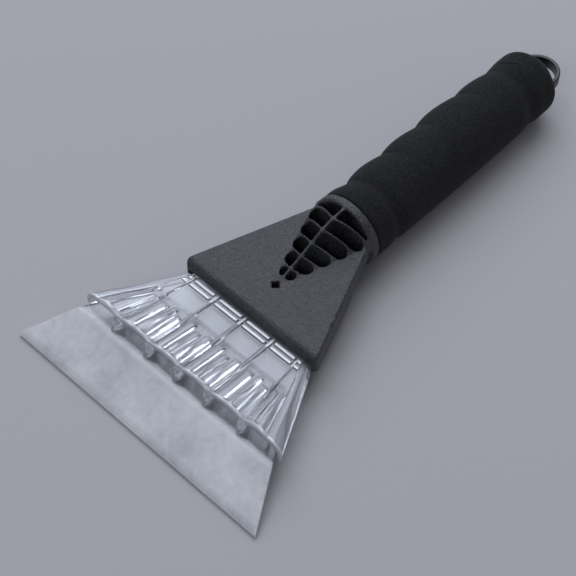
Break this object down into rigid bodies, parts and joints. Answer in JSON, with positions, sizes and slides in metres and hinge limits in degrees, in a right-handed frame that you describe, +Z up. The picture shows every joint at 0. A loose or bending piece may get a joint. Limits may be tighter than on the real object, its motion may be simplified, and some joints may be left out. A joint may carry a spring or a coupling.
{
  "type": "windshield ice scraper",
  "caption": "Hand ice scraper: bent clear blade under a fluted clear ice crusher, flared black head with a finned neck, foam grip with finger grooves on one side, and a hanging loop.",
  "frame": {"origin": "centre of the overall footprint, on the surface the tool lies on", "axes": "-Y towards the blade's edge, +Y towards the hanging loop, +Z up from the surface, +X to the right seen from above with the blade at the bottom"},
  "size_m": [0.127, 0.245, 0.0314],
  "materials": {
    "black_plastic": "fine spark-eroded grain, satin",
    "clear_crusher": "polished clear polycarbonate",
    "clear_blade": "clear plastic with a slight haze",
    "foam": "matt closed-cell foam",
    "grey_plastic": "semi-gloss",
    "screw_steel": "bright zinc"
  },
  "bodies": {
    "root": {"handle_body": "black_plastic", "ice_crusher_head": "clear_crusher", "scraper_blade": "clear_blade", "foam_grip": "foam", "end_plug_loop": "grey_plastic", "screw_left": "screw_steel", "screw_middle": "screw_steel", "screw_right": "screw_steel"}
  },
  "joints": []
}
